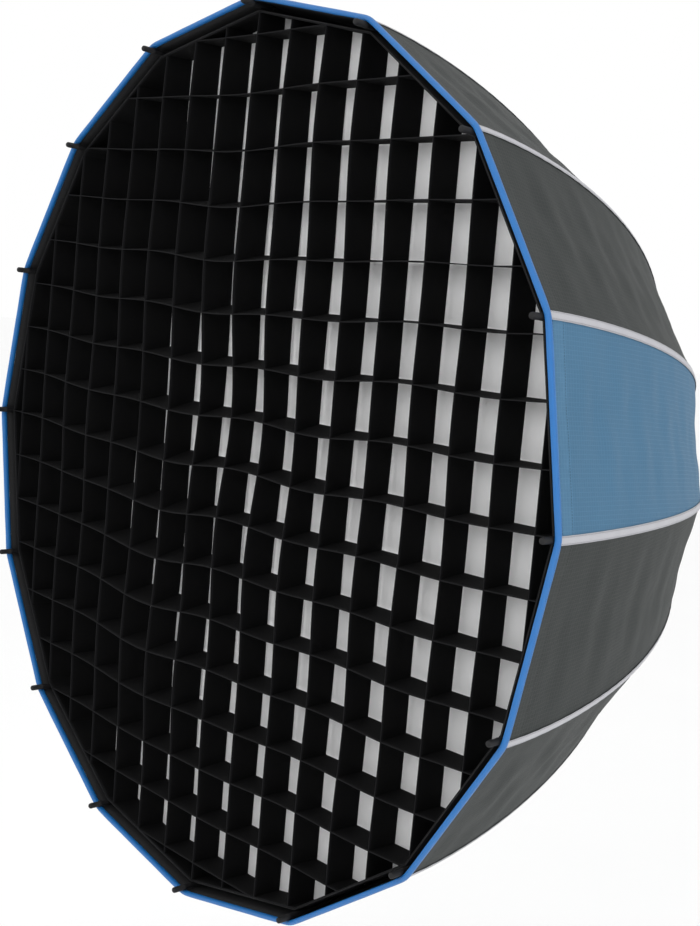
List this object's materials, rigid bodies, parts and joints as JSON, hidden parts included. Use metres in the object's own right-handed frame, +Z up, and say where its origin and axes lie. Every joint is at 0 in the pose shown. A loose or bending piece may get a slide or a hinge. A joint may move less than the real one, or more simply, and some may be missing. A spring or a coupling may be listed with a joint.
{
  "type": "parabolic softbox",
  "caption": "Deep parabolic umbrella-style softbox on a three-lug bayonet ring, with folding sprung ribs, grey and blue gores, egg-crate grid and front diffuser.",
  "frame": {"origin": "centre of the bayonet flange's rear seat, where the box meets the light", "axes": "+Y rearwards along the box's axis to the light, -Y out of the open front, +Z up through the first rib"},
  "size_m": [1.2056, 0.773, 1.2056],
  "materials": {
    "rib": "satin black sprung steel rod with moulded black root and rubber tip",
    "cover_grey": "dark grey ripstop, silvered inside",
    "cover_blue": "steel-blue ripstop, silvered inside",
    "hub_metal": "black anodised",
    "hub_plastic": "black moulded nylon",
    "knob": "black moulded nylon",
    "spring_steel": "bright spring steel",
    "screws": "black zinc",
    "black_webbing": "black woven tape",
    "grid_fabric": "black fabric strips",
    "diffuser": "white diffusion cloth",
    "blue_binding": "rolled blue binding tape"
  },
  "bodies": {
    "mount": {"bayonet_ring": "hub_metal", "glide_ring": "hub_plastic", "retaining_ring": "hub_metal", "retainer_screw_1": "screws", "retainer_screw_2": "screws", "retainer_screw_3": "screws"},
    "hub": {"hub_ring": "hub_metal", "hub_cap": "hub_plastic", "hinge_wire": "spring_steel", "catch_ring": "spring_steel", "cap_screw_1": "screws", "cap_screw_2": "screws", "cap_screw_3": "screws", "cap_screw_4": "screws", "rear_collar": "black_webbing", "lock_pad": "hub_plastic", "front_binding": "blue_binding", "front_lip": "black_webbing", "egg_crate_grid": "grid_fabric", "front_diffuser": "diffuser", "inner_diffuser": "diffuser"},
    "lock": {"lock_knob": "knob"},
    "rib_body_01": {"rib_01": "rib", "cover_panel_01": "cover_grey"},
    "rib_body_02": {"rib_02": "rib", "cover_panel_02": "cover_grey"},
    "rib_body_03": {"rib_03": "rib", "cover_panel_03": "cover_grey"},
    "rib_body_04": {"rib_04": "rib", "cover_panel_04": "cover_blue"},
    "rib_body_05": {"rib_05": "rib", "cover_panel_05": "cover_grey"},
    "rib_body_06": {"rib_06": "rib", "cover_panel_06": "cover_grey"},
    "rib_body_07": {"rib_07": "rib", "cover_panel_07": "cover_grey"},
    "rib_body_08": {"rib_08": "rib", "cover_panel_08": "cover_grey"},
    "rib_body_09": {"rib_09": "rib", "cover_panel_09": "cover_grey"},
    "rib_body_10": {"rib_10": "rib", "cover_panel_10": "cover_grey"},
    "rib_body_11": {"rib_11": "rib", "cover_panel_11": "cover_grey"},
    "rib_body_12": {"rib_12": "rib", "cover_panel_12": "cover_grey"},
    "rib_body_13": {"rib_13": "rib", "cover_panel_13": "cover_grey"},
    "rib_body_14": {"rib_14": "rib", "cover_panel_14": "cover_grey"},
    "rib_body_15": {"rib_15": "rib", "cover_panel_15": "cover_grey"},
    "rib_body_16": {"rib_16": "rib", "cover_panel_16": "cover_grey"}
  },
  "joints": [
    {"name": "hub_turn", "type": "hinge", "parent": "mount", "child": "hub", "pos_m": [0, 0, 0], "axis": [0, 1, 0], "continuous": true},
    {"name": "lock_turn", "type": "hinge", "parent": "hub", "child": "lock", "pos_m": [-0.01756, -0.0165, -0.08827], "axis": [-0.1951, 0, -0.9808], "range_deg": [0, 360]},
    {"name": "rib_fold_01", "type": "hinge", "parent": "hub", "child": "rib_body_01", "pos_m": [0, -0.042, 0.085], "axis": [1, 0, 0], "range_deg": [0, 38], "deforming": ["cover_panel_01", "front_binding", "front_lip", "egg_crate_grid", "front_diffuser", "inner_diffuser", "catch_ring"]},
    {"name": "rib_fold_02", "type": "hinge", "parent": "hub", "child": "rib_body_02", "pos_m": [0.03253, -0.042, 0.07853], "axis": [0.9239, 0, -0.3827], "range_deg": [0, 38], "deforming": ["cover_panel_02"]},
    {"name": "rib_fold_03", "type": "hinge", "parent": "hub", "child": "rib_body_03", "pos_m": [0.0601, -0.042, 0.0601], "axis": [0.7071, 0, -0.7071], "range_deg": [0, 38], "deforming": ["cover_panel_03"]},
    {"name": "rib_fold_04", "type": "hinge", "parent": "hub", "child": "rib_body_04", "pos_m": [0.07853, -0.042, 0.03253], "axis": [0.3827, 0, -0.9239], "range_deg": [0, 38], "deforming": ["cover_panel_04"]},
    {"name": "rib_fold_05", "type": "hinge", "parent": "hub", "child": "rib_body_05", "pos_m": [0.085, -0.042, 0], "axis": [0, 0, -1], "range_deg": [0, 38], "deforming": ["cover_panel_05"]},
    {"name": "rib_fold_06", "type": "hinge", "parent": "hub", "child": "rib_body_06", "pos_m": [0.07853, -0.042, -0.03253], "axis": [-0.3827, 0, -0.9239], "range_deg": [0, 38], "deforming": ["cover_panel_06"]},
    {"name": "rib_fold_07", "type": "hinge", "parent": "hub", "child": "rib_body_07", "pos_m": [0.0601, -0.042, -0.0601], "axis": [-0.7071, 0, -0.7071], "range_deg": [0, 38], "deforming": ["cover_panel_07"]},
    {"name": "rib_fold_08", "type": "hinge", "parent": "hub", "child": "rib_body_08", "pos_m": [0.03253, -0.042, -0.07853], "axis": [-0.9239, 0, -0.3827], "range_deg": [0, 38], "deforming": ["cover_panel_08"]},
    {"name": "rib_fold_09", "type": "hinge", "parent": "hub", "child": "rib_body_09", "pos_m": [0, -0.042, -0.085], "axis": [-1, 0, 0], "range_deg": [0, 38], "deforming": ["cover_panel_09"]},
    {"name": "rib_fold_10", "type": "hinge", "parent": "hub", "child": "rib_body_10", "pos_m": [-0.03253, -0.042, -0.07853], "axis": [-0.9239, 0, 0.3827], "range_deg": [0, 38], "deforming": ["cover_panel_10"]},
    {"name": "rib_fold_11", "type": "hinge", "parent": "hub", "child": "rib_body_11", "pos_m": [-0.0601, -0.042, -0.0601], "axis": [-0.7071, 0, 0.7071], "range_deg": [0, 38], "deforming": ["cover_panel_11"]},
    {"name": "rib_fold_12", "type": "hinge", "parent": "hub", "child": "rib_body_12", "pos_m": [-0.07853, -0.042, -0.03253], "axis": [-0.3827, 0, 0.9239], "range_deg": [0, 38], "deforming": ["cover_panel_12"]},
    {"name": "rib_fold_13", "type": "hinge", "parent": "hub", "child": "rib_body_13", "pos_m": [-0.085, -0.042, 0], "axis": [0, 0, 1], "range_deg": [0, 38], "deforming": ["cover_panel_13"]},
    {"name": "rib_fold_14", "type": "hinge", "parent": "hub", "child": "rib_body_14", "pos_m": [-0.07853, -0.042, 0.03253], "axis": [0.3827, 0, 0.9239], "range_deg": [0, 38], "deforming": ["cover_panel_14"]},
    {"name": "rib_fold_15", "type": "hinge", "parent": "hub", "child": "rib_body_15", "pos_m": [-0.0601, -0.042, 0.0601], "axis": [0.7071, 0, 0.7071], "range_deg": [0, 38], "deforming": ["cover_panel_15"]},
    {"name": "rib_fold_16", "type": "hinge", "parent": "hub", "child": "rib_body_16", "pos_m": [-0.03253, -0.042, 0.07853], "axis": [0.9239, 0, 0.3827], "range_deg": [0, 38], "deforming": ["cover_panel_16"]}
  ],
  "couplings": [
    {"joint": "rib_fold_02", "follows": "rib_fold_01", "ratio": 1},
    {"joint": "rib_fold_03", "follows": "rib_fold_01", "ratio": 1},
    {"joint": "rib_fold_04", "follows": "rib_fold_01", "ratio": 1},
    {"joint": "rib_fold_05", "follows": "rib_fold_01", "ratio": 1},
    {"joint": "rib_fold_06", "follows": "rib_fold_01", "ratio": 1},
    {"joint": "rib_fold_07", "follows": "rib_fold_01", "ratio": 1},
    {"joint": "rib_fold_08", "follows": "rib_fold_01", "ratio": 1},
    {"joint": "rib_fold_09", "follows": "rib_fold_01", "ratio": 1},
    {"joint": "rib_fold_10", "follows": "rib_fold_01", "ratio": 1},
    {"joint": "rib_fold_11", "follows": "rib_fold_01", "ratio": 1},
    {"joint": "rib_fold_12", "follows": "rib_fold_01", "ratio": 1},
    {"joint": "rib_fold_13", "follows": "rib_fold_01", "ratio": 1},
    {"joint": "rib_fold_14", "follows": "rib_fold_01", "ratio": 1},
    {"joint": "rib_fold_15", "follows": "rib_fold_01", "ratio": 1},
    {"joint": "rib_fold_16", "follows": "rib_fold_01", "ratio": 1}
  ]
}
